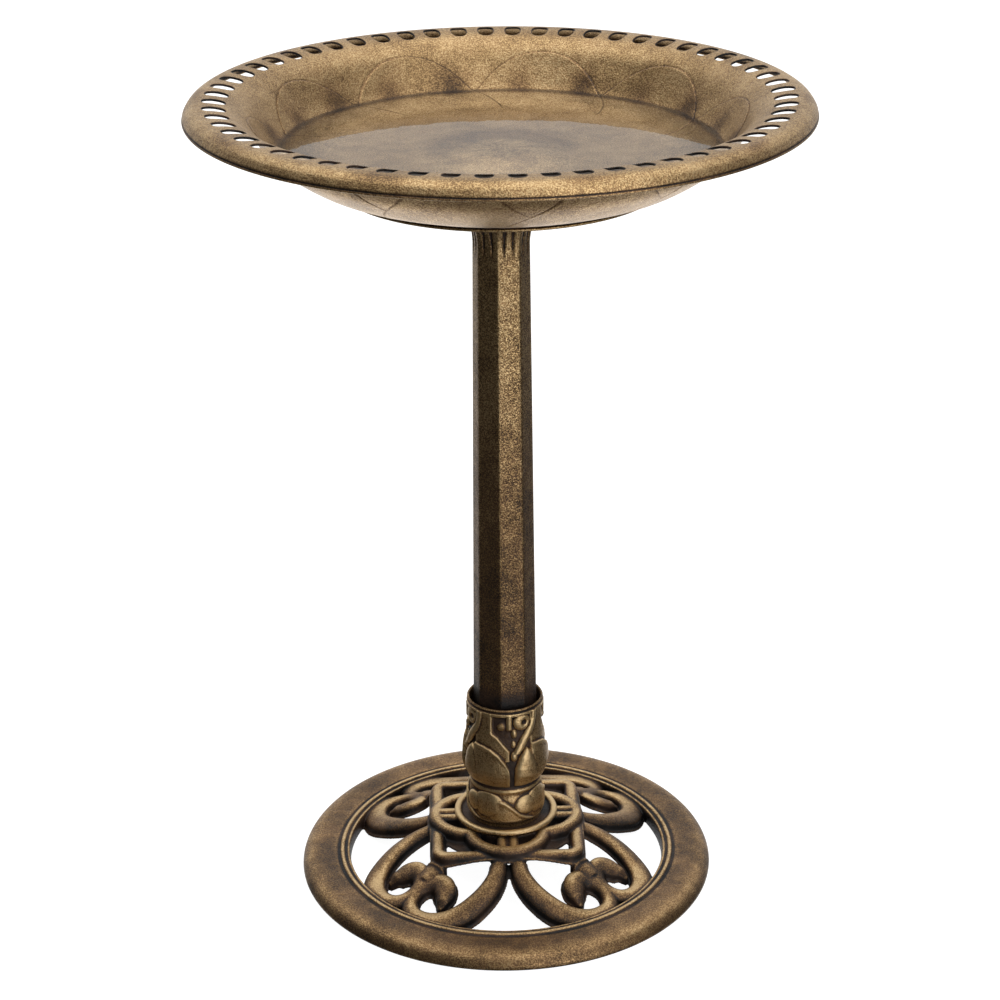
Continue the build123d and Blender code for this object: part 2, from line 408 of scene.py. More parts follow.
def clear_water():
    s = Shader("clear_water")
    ripple = s.noise(90, 2.0, 0.5)
    small = s.noise(20, 2.0, 0.5)
    s.set(
        Base_Color=s.ramp(ripple, [(0, (0.93, 0.95, 0.95)), (1, (1.0, 1.0, 1.0))]),
        Roughness=s.spread(small, 0, 1, 0.0, 0.03),
    )
    s.surface.inputs["IOR"].default_value = 1.333
    s.surface.inputs["Transmission Weight"].default_value = 1.0
    s.bump((ripple, 0.25), (small, 0.05))
    return s.material


# ---- basin --------------------------------------------------------------------------------------
SLOTS = 60
SLOT_FIRST = 3.0
SLOT_R = 229.0
SLOT_HALF = (6.6, 9.4)          # half width round the rim, half length along the radius
CELL_HALF = 12.5                # half the radial depth of the band that holds the slots
SIDE_STEPS = 24                 # points along each edge of a slot's cell, round the rim
END_STEPS = 16                  # and along the radius
COLUMNS = SLOTS * SIDE_STEPS
PETALS = 10
PETAL_FIRST = 25.0
PETAL_CENTRE_R = 141.0
PETAL_R = 62.0
WATER_Z = 669.5


def petal_pattern(az, r):
    """Overlapping round petals: how proud the surface is, and how strong the engraved line is."""
    pitch = 360.0 / PETALS
    local = from_nearest(az, PETAL_FIRST, pitch)
    proud = np.zeros_like(r)
    line = np.zeros_like(r)
    covered = np.zeros(r.shape, bool)
    for turn in (1, 0, -1):
        a = np.radians(local - turn * pitch)
        away = np.hypot(r * np.sin(a), r * np.cos(a) - PETAL_CENTRE_R) - PETAL_R
        line = np.maximum(line, np.where(covered, 0, bell(away, 0.5)))
        inside = (away < 0) & ~covered
        proud = np.where(inside, 0.75 * np.exp(np.minimum(away, 0) / 9.0), proud)
        covered |= away < 0
    return proud, line


def on_wall(r):
    """1 on the basin's sloping wall, fading out at the floor and below the rim."""
    return smoothstep(r, 134, 142) * (1 - smoothstep(r, 207, 212))


def inner_wall_relief(az, r, z):
    proud, line = petal_pattern(az, r)
    star = 0.12 * np.cos(np.radians(az * 12)) * smoothstep(r, 3, 12) * (1 - smoothstep(r, 34, 62))
    return (proud - 0.4 * line) * on_wall(r) + star


def outer_wall_relief(az, r, z):
    proud, line = petal_pattern(az, r)
    return (0.3 * line - 0.3 * proud) * smoothstep(r, 140, 148) * (1 - smoothstep(r, 200, 208))


def slot_outline(angle, grow):
    """Rounded slot; positions across (round the rim) and along the radius."""
    c, s = np.cos(angle), np.sin(angle)
    squareness = 2 / 2.7
    across = (SLOT_HALF[0] + grow) * np.sign(c) * np.abs(c) ** squareness
    along = (SLOT_HALF[1] + grow) * np.sign(s) * np.abs(s) ** squareness
    return across, along


def slot_cells(top_z, under_z):
    """The slotted band: loops run from each cell's edge over the slot's lip and down its wall."""
    side = np.linspace(-1, 1, SIDE_STEPS + 1)[:-1]
    end = np.linspace(-1, 1, END_STEPS + 1)[:-1]
    edge = np.concatenate([
        np.stack([side, -np.ones(SIDE_STEPS)], 1), np.stack([np.ones(END_STEPS), end], 1),
        np.stack([-side, np.ones(SIDE_STEPS)], 1), np.stack([-np.ones(END_STEPS), -end], 1),
    ])
    angle = np.arctan2(edge[:, 1], edge[:, 0])
    loops = [("top", w, 0.8, 0.0) for w in (0, 0.4, 0.75, 1.0)]
    loops += [("top", 1, 0.25, 0.15), ("top", 1, 0.0, 0.6)]
    loops += [("under", 1, 0.0, -0.6), ("under", 1, 0.25, -0.15)]
    loops += [("under", w, 0.8, 0.0) for w in (1.0, 0.75, 0.4, 0)]
    count = len(edge)
    points, quads = [], []
    for k in range(SLOTS):
        middle = SLOT_FIRST + k * 360.0 / SLOTS
        start = len(points) * count
        for face, share, grow, drop in loops:
            across, along = slot_outline(angle, grow)
            r = SLOT_R + (1 - share) * edge[:, 1] * CELL_HALF + share * along
            az_edge = edge[:, 0] * 180.0 / SLOTS
            az_slot = np.degrees(across / SLOT_R)
            az = middle + (1 - share) * az_edge + share * az_slot
            z = (top_z(r) if face == "top" else under_z(r)) - drop
            points.append(to_xyz(az, r, z))
        quads.append(grid_quads(len(loops), count, start))
    return np.vstack(points), np.vstack(quads)


def basin_profiles():
    """Inside from the middle to the rim, then the lip, and the underside back to the middle; each (r, z)."""
    inside = smooth_path([
        (0, 659.6), (15, 659.6), (30, 659.2), (48, 655), (68, 650.3), (100, 650), (132, 650.2), (152, 653.4),
        (168, 660.8), (181, 669.6), (193, 684.5), (204, 698.5), (216.5, 706.9), (228, 710.1), (238, 710.95),
    ], 0.8)
    lip = smooth_path([
        (238, 710.95), (245, 710.0), (250.4, 707), (253.6, 702.6), (254.3, 700.6), (254.0, 700.0),
        (254.4, 699.4), (254.9, 698.6), (254.6, 697.9), (253.6, 697.7), (252.8, 698.4), (251.6, 702.4),
        (248.3, 706.4), (243, 708.5), (238, 708.9),
    ], 0.5)
    outside = smooth_path([
        (238, 708.9), (228, 708.0), (216.5, 704.8), (208, 698.2), (196.5, 683.2), (185, 667.4), (161, 651),
        (142, 643.4), (134.6, 641.2),
    ], 0.9)
    foot = rounded_path([
        (134.6, 641.2), (131.4, 640.6), (131.2, 639.6), (133.2, 639.0), (133.2, FOOT_Z), (129.4, FOOT_Z),
        (128.6, 646.8), (60, 646.8), (42.2, 646.8), (24, 646.8), (24, 655), (0, 655),
    ], 0.8, 0.7)
    foot = np.vstack([foot[foot[:, 0] > 120], resample(foot[foot[:, 0] <= 120], 6)])
    return inside, lip, outside, foot


def build_basin():
    inside, lip, outside, foot = basin_profiles()
    r_in, r_out = SLOT_R - CELL_HALF, SLOT_R + CELL_HALF
    over = np.vstack([inside, lip[:np.argmax(lip[:, 0] > 250)]])
    under = np.vstack([outside[::-1], lip[:-np.argmax(lip[::-1, 0] > 250) - 1:-1]])

    def top_z(r):
        return np.interp(r, over[:, 0], over[:, 1])

    def under_z(r):
        return np.interp(r, under[:, 0], under[:, 1])

    az = azimuths(COLUMNS, SLOT_FIRST - 180.0 / SLOTS)

    floor = resample(inside[inside[:, 0] < 134], 3.0)
    wall = inside[(inside[:, 0] >= 134) & (inside[:, 0] < r_in - 0.3)]
    upper = np.vstack([floor[:-1], wall, [[r_in, top_z(r_in)]]])
    outward = lip[(lip[:, 0] > r_out + 0.2)]
    rim = np.vstack([[[r_out, top_z(r_out)]], outward, [[r_out, under_z(r_out)]]])
    lower = outside[(outside[:, 0] < r_in - 0.3)]
    below = np.vstack([[[r_in, under_z(r_in)]], lower, foot[1:]])

    blocks = [
        turned_rows(upper, az, inner_wall_relief),
        turned_rows(rim, az),
        turned_rows(below, az, lambda a, r, z: -outer_wall_relief(a, r, z) * (z > 645)),
    ]
    points, quads, start = [], [], 0
    for block in blocks:
        quads.append(grid_quads(len(block), COLUMNS, start))
        points.append(block.reshape(-1, 3))
        start += block.shape[0] * COLUMNS
    cell_points, cell_quads = slot_cells(top_z, under_z)
    points.append(cell_points)
    quads.append(cell_quads + start)
    obj = clean(make_mesh("basin_shell", np.vstack(points), np.vstack(quads)))
    paint_basin_wear_and_shade(obj, top_z, under_z)
    return obj


def paint_basin_wear_and_shade(obj, top_z, under_z):
    """Where the basin's paint is dark, rubbed or stained, and where shade is painted in the slots and under
    the rim.
    """
    co = coords(obj)
    a, r = plan(co)
    z = co[:, 2]
    _, line = petal_pattern(a, r)
    upward = z > under_z(r) + 1.2
    # painted shade on the walls and undersides of the slots
    slot_shade = (np.abs(r - SLOT_R) < CELL_HALF - 0.1) * (z < top_z(r) - 0.1)
    hem = bell(z - 700.0, 0.7) * (r > 250)
    foot_groove = bell(z - 640.0, 0.8) * (np.abs(r - 132) < 3)
    wet_edge = 0.45 * bell(z - WATER_Z + 2.4, 2.2) * upward * (r < 190)
    engraved = line * on_wall(r) * np.where(upward, 0.6, 0.25)
    # painted shade under the rim
    under_rim_shade = (1 - upward) * smoothstep(r, 211, 216) * (1 - smoothstep(r, 240, 246)) * 0.55
    store(obj, "patina_and_shade", np.clip(engraved + slot_shade + hem + foot_groove + under_rim_shade + wet_edge, 0, 1))
    lip_edge = smoothstep(r, 238, 250) * upward * 0.5
    store(obj, "rubbed_and_highlight", np.clip(lip_edge + (r > 130) * (z < 639.2) * 0.8, 0, 1))
    pitch = 360.0 / PETALS
    spots = 0
    for offset, spread_az, spread_r, strength in ((6, 3.8, 10, 0.8), (23.5, 3.4, 9, 0.65)):
        away = from_nearest(a - 187, offset, pitch)
        spots = spots + strength * bell(away, spread_az) * bell(r - 184, spread_r)
    rim_spots = 0.55 * bell(from_nearest(a, 15, pitch), 4.0) * bell(r - 246, 5)
    store(obj, "stain", np.clip((spots + rim_spots) * upward, 0, 1))


def build_water():
    """Shallow body of clear water: a flat top with a small meniscus, and a bed sunk into the basin's wall."""
    inside = basin_profiles()[0]
    sunk = 1.2
    bed = inside[inside[:, 1] < WATER_Z]
    bed = np.stack([bed[:, 0] + 0.35 * sunk, bed[:, 1] - sunk], 1)
    bed = resample(bed[bed[:, 0] > 0], 2.5)
    edge_r = float(np.interp(WATER_Z, inside[-90:, 1], inside[-90:, 0]))
    top = [(edge_r + 0.4, WATER_Z + 0.6), (edge_r - 0.8, WATER_Z + 0.2), (edge_r - 3, WATER_Z)]
    top += [(r, WATER_Z) for r in (150, 100, 50, 0)]
    profile = np.vstack([[[0, bed[0, 1]]], bed[1:], top])
    return clean(make_mesh("water", *turned(profile, 240)))


# ---- post ---------------------------------------------------------------------------------------
POLE_TURN = -7.0                # azimuth of one corner of the octagon
FACETS = 8
FACET = 360.0 / FACETS          # degrees that one facet spans
POLE_WALL = 2.9
NECK_Z = 585.0                  # where the taper ends and the flared head starts
FLUTE_OFFSET = 4.2              # the two flutes of a facet lie this far to each side of its middle


def from_facet_middle(az):
    """Degrees from the middle of the facet that an azimuth is on."""
    return (az - POLE_TURN) % FACET - FACET / 2


def octagon_r(az, corner_r, soften):
    """Radius of an octagon with slightly rounded corners."""
    local = from_facet_middle(az)
    flat = corner_r * math.cos(math.radians(FACET / 2)) / np.cos(np.radians(local))
    return flat - soften * np.exp(-(FACET / 2 - np.abs(local)) / 3.2)


def pole_corner_r(z):
    low = POLE_LOW[2]
    shaft = 29.6 + (np.minimum(z, NECK_Z) - low) / (NECK_Z - low) * (24.4 - 29.6)
    flare = 6.4 * smoothstep(z, 586, 622) ** 1.2
    return shaft + flare


def pole_relief(az, z):
    """Two tapered flutes at the top of each facet."""
    across = np.radians(from_facet_middle(az)) * pole_corner_r(z)
    open_up = smoothstep(z, 574, 612)
    width = 0.5 + 1.9 * open_up
    depth = 1.1 * smoothstep(z, 574, 592)
    return depth * (bell(across - FLUTE_OFFSET, width) + bell(across + FLUTE_OFFSET, width))


def build_pole():
    low, high = POLE_LOW[2], POLE_HIGH[2]
    heights = np.concatenate([np.arange(low, 560, 3.0), np.arange(560, high - 0.4, 0.8), [high - 0.4]])
    az = azimuths(FACETS * 40, POLE_TURN)
    rows = []
    for z in heights:
        rows.append(to_xyz(az, octagon_r(az, pole_corner_r(z), 0.45) - pole_relief(az, z), z))
    rows.append(to_xyz(az, octagon_r(az, pole_corner_r(high) - 0.5, 0.45) - pole_relief(az, high), high))
    for z in (high, NECK_Z, 300.0, low):
        corner_r = pole_corner_r(min(z, NECK_Z)) - POLE_WALL
        rows.append(to_xyz(az, octagon_r(az, corner_r, 0), z))
    rows.append(rows[0])
    obj = clean(make_mesh("post_shaft", np.vstack(rows), grid_quads(len(rows), len(az))))
    paint_pole_wear_and_light(obj)
    return obj


def paint_pole_wear_and_light(obj):
    """Gold on the corners and a painted highlight towards the head; painted shade in the flutes, the bore and
    above the collar, fading out up the shaft.
    """
    co = coords(obj)
    a, r = plan(co)
    z = co[:, 2]
    local = from_facet_middle(a)
    outside = r > pole_corner_r(z) - 2.4
    corner = np.exp(-(FACET / 2 - np.abs(local)) / 1.6) * outside
    across = np.radians(local) * pole_corner_r(z)
    # painted shade in the flutes
    flute_shade = smoothstep(z, 574, 590) * (bell(across - FLUTE_OFFSET, 1.0) + bell(across + FLUTE_OFFSET, 1.0))
    # painted shade above the collar, and a faint painted shade that fades out up the lower shaft
    foot = 0.75 * (1 - smoothstep(z, 168, 190)) + 0.12 * (1 - smoothstep(z, 190, 470))
    # the bore inside the wall gets painted shade too
    store(obj, "patina_and_shade", np.clip(flute_shade * 0.6 + foot + (1 - outside), 0, 1))
    # rubbed corners, and a painted highlight that grows towards the head
    store(obj, "rubbed_and_highlight", np.clip(corner * 0.6 + smoothstep(z, 340, 570) * 0.75, 0, 1))


# ---- leaf collar --------------------------------------------------------------------------------
GAP_AZ = 12.0                   # azimuth of one gap between the four leaves


def ground_r(z):
    """Radius of the collar's ground, under the leaves."""
    return np.interp(z, [49, 56, 66, 76, 84, 90, 104, 125, 150, 163, 168.5],
                     [32.0, 32.6, 33.0, 32.4, 31.2, 31.2, 33.2, 33.0, 31.9, 31.9, 32.4])


def dome(x, y=0.0):
    """Half-round hump of height 1 inside the unit circle."""
    return np.sqrt(np.clip(1 - x ** 2 - y ** 2, 0, 1))


def broad_leaf(u, z):
    """Wide flat leaf to the left of a gap, with a second layer above it."""
    top = np.interp(u, [-36, -26.7, -20.2, -13, -7.1, -4.2, -3.0], [134, 133, 131, 126, 118, 111, 99])
    inside = np.minimum((top - z) * 0.75, -2.6 - u)
    body = np.interp(z, [89, 91, 94, 100, 108, 118, 128, 134], [0.2, 2.0, 3.6, 4.9, 5.3, 4.7, 3.8, 3.2])
    lower = (body + 0.5 * bell(inside - 2.0, 1.6)) * smoothstep(inside, -0.3, 1.6)
    edge = np.interp(z, [118, 128, 134, 141, 144, 146], [-2.4, -2.4, -7.1, -13, -17.8, -18.5])
    behind = (edge - u) * 0.75
    upper = (2.2 + 0.35 * bell(behind - 1.8, 1.5)) * smoothstep(behind, -0.3, 1.6)
    return np.where(u > -36, np.maximum(lower, upper * (z > 118)), 0)


def side_band(u, z):
    """Narrow leaf that slants up to the right of a gap."""
    middle = np.interp(z, [126, 130, 138, 144, 150, 158], [3.0, 5.9, 10.7, 15.4, 19, 21.3])
    half = np.interp(z, [125, 130, 140, 158], [2.4, 3.2, 3.8, 3.2])
    lean = np.interp(z, [146, 152], [0.72, 0.95])
    return 3.6 * dome((u - middle) * lean / half) ** 0.8 * (z > 125)


def round_petal(u, z):
    """Full rounded petal low on the right of a gap."""
    left = np.interp(z, [91, 100, 110, 120, 126, 129.5], [0.9, 0.8, 1.3, 4.7, 8.5, 12.5])
    right = np.interp(z, [91, 100, 115, 126, 129.5], [27.5, 26.9, 22.7, 17, 12.6])
    half = np.maximum((right - left) / 2, 0.1)
    body = np.interp(z, [89, 91, 95, 102, 110, 120, 127, 129.5], [0.2, 2.0, 4.4, 6.0, 6.3, 5.6, 4.0, 2.2])
    return body * dome((u - (left + right) / 2) / half) ** 0.7 * (z < 129.5)


def gap_details(u, z):
    """Upright fold, pierced boss and buds between the leaves."""
    fold = 2.8 * dome((u + 3.6) / 3.0) * smoothstep(z, 146.5, 150) * (z < 163)
    boss = 3.3 * dome((u - 8.4) / 8.4, (z - 155.4) / 8.4) ** 0.7
    pit = 3.6 * bell(np.hypot(u - 10.6, 0.9 * (z - 155)), 2.5)
    swelling = 1.3 * dome((u + 11.0) / 4.6, (z - 151.5) / 4.2)
    bud = 3.6 * dome((u - 0.9) / 2.9, (z - 144.8) / 4.6)
    low_bud = 3.8 * dome((u - 0.6) / 3.2, (z - 122.4) / 5.2)
    small = 1.6 * dome((u - 0.4) / 2.4, (z - 134) / 4.0)
    return np.maximum.reduce([fold, boss - pit, swelling, bud, low_bud, small])


def cup_relief(u, z):
    """Rounded leaves that overlap round the foot, below the waist."""
    edge_u = [-27, -11.9, -7.1, -2.4, 0, 5.9, 11.9, 20]
    top = np.interp(u, edge_u, [77.5, 77.5, 76, 72.5, 70.2, 64.6, 60.6, 57])
    inside = (top - z) * 0.8
    body = 1.3 + 1.1 * dome((u - 1) / 24, (z - 64) / 16) + 0.7 * bell(inside - 1.8, 1.6)
    left = body * smoothstep(inside, -0.4, 1.2)
    right = 3.2 * dome((u - 12.6) / 11.5, (z - 70.4) / 9.4) ** 0.8
    far = 2.9 * dome((u + 25) / 17, (z - 71) / 12.5) ** 0.8
    return np.maximum.reduce([left, right * (z > top - 0.5), far])


def collar_relief(az, z):
    """Height of the leaves over the collar's ground, the same round each of the four gaps."""
    local = from_nearest(az, GAP_AZ, 90.0)
    upper, cup = np.zeros_like(z), np.zeros_like(z)
    for shift in (-90, 0, 90):
        u = np.radians(local + shift) * 34.0
        for part in (broad_leaf, side_band, round_petal, gap_details):
            upper = np.maximum(upper, part(u, z))
        cup = np.maximum(cup, cup_relief(u, z) * (np.abs(u) < 46))
    upper = np.maximum(upper, 2.2 * smoothstep(z, 160.2, 162.2))
    upper = upper * (1 - smoothstep(z, 164.0, 165.0)) * smoothstep(z, 89.6, 92.0)
    cup = cup * smoothstep(z, 51, 57) * (1 - smoothstep(z, 84, 88.6)) + 1.0 * bell(z - 85, 2.0)
    return upper + cup * (z < 90) + 1.5 * bell(z - 167.0, 1.2)


def collar_radius(az, z):
    relief = collar_relief(az, z)
    return ground_r(z) + relief, relief


def build_collar():
    low, high = COLLAR_LOW[2], COLLAR_HIGH[2]
    az = azimuths(600)
    heights = np.concatenate([[low], np.arange(low + 0.3, high - 0.2, 0.45), [high - 0.1]])
    grid_az, grid_z = np.meshgrid(az, heights)
    r, _ = collar_radius(grid_az, grid_z)
    rows = [to_xyz(az, r[i], heights[i]) for i in range(len(heights))]
    bore = [(33.0, high), (32.0, high - 0.3), (31.5, high - 3), (31.0, 150), (30.3, 120)]
    bore += [(30.25, 60), (30.25, low)]
    for radius, z in bore:
        rows.append(to_xyz(az, radius, z))
    rows.append(rows[0])
    obj = clean(make_mesh("collar_leaves", np.vstack(rows), grid_quads(len(rows), len(az))))
    paint_collar_wear_and_shade(obj)
    return obj


def paint_collar_wear_and_shade(obj):
    """Dark in the creases and between the leaves, painted shade in the bore and at the foot down in the
    saucer, gold on whatever stands proud.
    """
    wide = hollowness(obj, 90, 0.9)
    tight = hollowness(obj, 14, 0.25)
    co = coords(obj)
    a, radius = plan(co)
    z = co[:, 2]
    _, relief = collar_radius(a, z)
    deep = (1 - smoothstep(relief, 0.3, 1.8)) * (z > 90) * (z < 165)
    # dark lines at the waist and under the top lip, and painted shade low on the foot, where it sits in the
    # saucer
    crease_and_foot_shade = bell(z - 90.2, 1.6) + smoothstep(z, 163.6, 164.8) + (1 - smoothstep(z, 51, 60)) * 0.7
    # painted shade in the bore
    bore_shade = radius < 31.4
    dark = np.maximum(wide, 0) * 0.9 + np.maximum(tight, 0) * 0.7 + deep * 0.95 + crease_and_foot_shade * 0.8 + bore_shade
    store(obj, "patina_and_shade", np.clip(dark, 0, 1))
    store(obj, "rubbed_and_highlight", np.clip(np.maximum(-wide, 0) + np.maximum(-tight, 0) * 0.9, 0, 1))


def build_hub():
    low, high = HUB_LOW[2], HUB_HIGH[2]
    profile = rounded_path([
        (4.2, low), (44, low), (46.4, 49.2), (46.4, 51.3), (45.2, high - 0.4), (43.4, high),
        (41.4, high - 0.5), (40.2, 51.2), (39.4, 49.8), (37.6, 49.4), (30.2, 49.4), (30.0, 50),
        (4.2, 50), (4.2, low),
    ], 0.9, 0.6)
    obj = clean(make_mesh("hub_saucer", *turned(profile, 240)))
    co = coords(obj)
    _, r = plan(co)
    # painted shade inside the saucer round the collar, and on its low underside
    saucer_bowl_shade = 1 - smoothstep(r, 39.6, 41.4)
    store(obj, "patina_and_shade", np.clip(saucer_bowl_shade + (1 - smoothstep(co[:, 2], 48.5, 50.0)) * 0.8, 0, 1))
    store(obj, "rubbed_and_highlight", bell(r - 43.6, 2.4) * (co[:, 2] > 50.5))
    return obj


# ---- base ---------------------------------------------------------------------------------------
DOME_R = [0, 46, 62, 75, 90, 105, 120, 132, 146]
DOME_Z = [43, 43, 41.5, 37, 31.2, 25.4, 18.8, 13.4, 11.8]
CASTING_TURN = 1.7              # degrees that the openwork is turned about the axis
LOBE_TOP = 48.0
LOBE_HALF = 6.3
LOBE_CENTRE = 31.6
LOBE_R = 32.0
SQUARE_TOP = 42.6
SQUARE_HALF = 5.9
SQUARE_CENTRE = 61.9
WEB_TOP = 37.6
RING_LIP_R = 144.0
GROOVE_R = (145.9, 152.3)       # the grooves on either side of the bead
BEAD_R = 149.1

SCROLL = [(8.8, -63), (9.3, -73), (12.7, -84.4), (20.4, -97), (31, -107.6), (43.4, -115.6), (57.5, -119.6),
          (72, -117.6), (83.2, -109.8), (88.2, -98.5), (85.6, -87), (78, -79.2), (68.5, -76.9), (60.5, -79.8),
          (56.5, -86.3), (56.9, -93), (58.6, -98.6), (60.8, -103), (63.2, -107.2)]
SCROLL_HALF = [6.2, 7.2, 8.2, 9.2, 9.9, 10.2, 10.0, 9.2, 8.0, 7.1, 7.2, 7.6, 7.8, 8.8, 9.8, 9.2, 6.8, 4.0,
               0.9]


def dome_z(r):
    """Height of the casting's domed top, with the joins between its straight slopes rounded."""
    return sum(np.interp(r + step, DOME_R, DOME_Z) for step in (-8, -4, 0, 4, 8)) / 5


def bar_section(half, side, flange):
    """Low rounded top, upright sides and a thin ledge at the foot; across and down from the top."""
    t = np.linspace(0, math.pi, 17)
    rise = min(5.4, 0.7 * half)
    foot = -rise - side
    crown = np.stack([-half * np.cos(t), rise * (np.sin(t) - 1)], 1)
    ledge = [(half, foot + 2.4), (half + flange, foot + 2.0), (half + flange, foot), (-half - flange, foot),
             (-half - flange, foot + 2.0), (-half, foot + 2.4)]
    return np.vstack([crown, ledge])


def sweep(path, halves, top, side=6.4, flange=2.2, closed=False, domed=True):
    """Bar along a plan path, with its own half width, top and depth at every point."""
    ahead = np.roll(path, -1, 0) - np.roll(path, 1, 0) if closed else np.gradient(path, axis=0)
    ahead /= np.linalg.norm(ahead, axis=1, keepdims=True)
    right = np.stack([ahead[:, 1], -ahead[:, 0]], 1)
    rings = []
    for p, n, half, z, deep in zip(path, right, halves, top, np.broadcast_to(side, len(path))):
        section = bar_section(half, deep, flange * min(1, half / 8))
        xy = p + section[:, :1] * n
        lean = dome_z(np.hypot(*xy.T)) - dome_z(np.hypot(*p)) if domed else 0
        rings.append(np.column_stack([xy, z + lean + section[:, 1]]))
    count = len(rings[0])
    if closed:
        return np.vstack(rings), ring_quads(len(rings), count)
    caps = [np.repeat(rings[0].mean(0)[None], count, 0), np.repeat(rings[-1].mean(0)[None], count, 0)]
    rows = [caps[0]] + rings + [caps[1]]
    return np.vstack(rows), grid_quads(len(rows), count)


def ring_quads(rows, cols):
    """Quads of a closed section carried all the way round."""
    i = np.arange(rows)[:, None]
    j = np.arange(cols)[None, :]
    a = i * cols + j
    b = i * cols + (j + 1) % cols
    up = ((i + 1) % rows) * cols
    return np.stack([a, b, up + (j + 1) % cols, up + j], -1).reshape(-1, 4)


def turned_about_axis(points, degrees):
    c, s = math.cos(math.radians(degrees)), math.sin(math.radians(degrees))
    x, y, z = points.T
    return np.column_stack([c * x - s * y, s * x + c * y, z])


def quarter_turns(points):
    """The points at each of the four quarter turns about the axis."""
    for k in range(4):
        yield turned_about_axis(points, 90 * k)


def across_diagonal(points):
    """Mirror image across the plane through the axis and the front-right diagonal."""
    return np.column_stack([-points[:, 1], -points[:, 0], points[:, 2]])


def scroll_bar():
    """One scroll, from the lattice out round its arc and in to the tip of its curl."""
    path = smooth_path(np.column_stack([SCROLL, SCROLL_HALF]), 1.6)
    path = np.column_stack([np.convolve(np.pad(c, 3, "edge"), np.ones(7) / 7, "valid") for c in path.T])
    halves = path[:, 2]
    r = np.hypot(path[:, 0], path[:, 1])
    head = (path[:, 0] > 45) * smoothstep(69 - path[:, 0], 0, 6) * (path[:, 1] > -110)
    swell = 0.45 * np.maximum(halves - 7.4, 0) * head
    droop = 4.0 * smoothstep(6.0 - halves, 0, 4.0) * head
    return sweep(path[:, :2], halves, dome_z(r) + swell - droop)


def lobe_bar():
    """Round bar of one lobe of the lattice."""
    t = np.radians(np.arange(0, 360, 3.0))
    path = np.column_stack([LOBE_R * np.sin(t), -LOBE_CENTRE - LOBE_R * np.cos(t)])
    halves = np.full(len(path), LOBE_HALF)
    top = np.full(len(path), LOBE_TOP)
    return sweep(path, halves, top, 8.0, 2.0, closed=True, domed=False)


def rib_bars():
    """Two straight ribs side by side, from the middle of a lobe to its outer end."""
    for x in (-5.1, 5.1):
        path = np.column_stack([np.full(24, x), np.linspace(-36, -64, 24)])
        yield sweep(path, np.full(24, 4.6), np.full(24, LOBE_TOP - 0.2), 7.5, 0.3, domed=False)


def square_bar():
    """Square bar round the lattice, with rounded corners, that reaches down into the dome."""
    half, corner = SQUARE_CENTRE, 9.0
    straight = half - corner
    path = []
    for k in range(4):
        turn = k * math.pi / 2
        c, s = math.cos(turn), math.sin(turn)
        bend = np.radians(np.linspace(0, 90, 16))
        arc = np.column_stack([straight + corner * np.sin(bend), -straight - corner * np.cos(bend)])
        side = np.column_stack([np.linspace(-straight, straight, 40)[1:-1], np.full(38, -half)])
        piece = np.vstack([side, arc])
        path.append(np.column_stack([c * piece[:, 0] - s * piece[:, 1], s * piece[:, 0] + c * piece[:, 1]]))
    path = np.vstack(path)
    foot = dome_z(np.hypot(*path.T)) - 2.4
    depth = SQUARE_TOP - 3.5 - foot
    halves = np.full(len(path), SQUARE_HALF)
    top = np.full(len(path), SQUARE_TOP)
    return sweep(path, halves, top, depth, 2.4, closed=True, domed=False)


def web_plate():
    """Thin plate behind the lattice, from the hub out to a square with its corners cut away."""
    az = azimuths(360)
    turn = np.abs((az + 45) % 90 - 45)
    reach = np.minimum(58.0 / np.cos(np.radians(turn)), 66.5)
    rows = []
    for share, z in ((0.1, WEB_TOP), (0.6, WEB_TOP), (1, WEB_TOP), (1, WEB_TOP - 2.6), (0.6, WEB_TOP - 2.6),
                     (0.1, WEB_TOP - 2.6), (0.1, WEB_TOP)):
        r = reach * share
        a = np.radians(az)
        rows.append(np.column_stack([r * np.sin(a), -r * np.cos(a), np.full(len(az), z)]))
    return np.vstack(rows), grid_quads(len(rows), len(az))


def stub_bars():
    """Stub on each diagonal between the lattice and the two curls, with two tied bands."""
    unit = np.array([1, -1]) / math.sqrt(2)
    d = np.linspace(82, 107, 18)
    halves = np.interp(d, [82, 90, 98, 104, 107], [5.0, 8.6, 10.4, 9.0, 5.5])
    yield sweep(d[:, None] * unit, halves, dome_z(d) + 1.6, 5.5, 0.2)
    for band in (87.6, 91.4):
        d = np.linspace(band - 1.2, band + 1.2, 5)
        yield sweep(d[:, None] * unit, np.array([8.8, 10.0, 10.4, 10.0, 8.8]), dome_z(d) + 2.9, 6.0, 0.2)


def ring_profile():
    """Section of the foot ring: lip, bead between two grooves, broad band and rolled outer edge."""
    return smooth_path([
        (141.8, 1.0), (141.6, 6.0), (142.0, 10.4), (142.8, 13.2), (144.0, 13.9), (145.1, 13.2), (145.9, 12.6),
        (146.7, 13.1), (147.6, 14.5), (149.1, 15.1), (150.5, 14.5), (151.5, 13.1), (152.4, 12.7),
        (153.4, 13.3), (155.2, 13.9), (160, 14.2), (167, 14.6), (173, 14.4), (177.4, 13.4), (180.8, 11.5),
        (183.3, 8.6), (184.8, 5.0), (185.1, 1.8), (184.2, 0.15), (181.8, 0.4), (177.5, 5.0), (170, 8.6),
        (160, 8.2), (153, 7.4), (150.6, 3.4), (149.6, 0.3), (147.6, 0.02), (143.4, 0.02),
    ], 0.6, closed=True)


def join_points(parts):
    """One list of points and one of quads from several parts."""
    points, quads, start = [], [], 0
    for p, q in parts:
        points.append(p)
        quads.append(q + start)
        start += len(p)
    return np.vstack(points), np.vstack(quads)


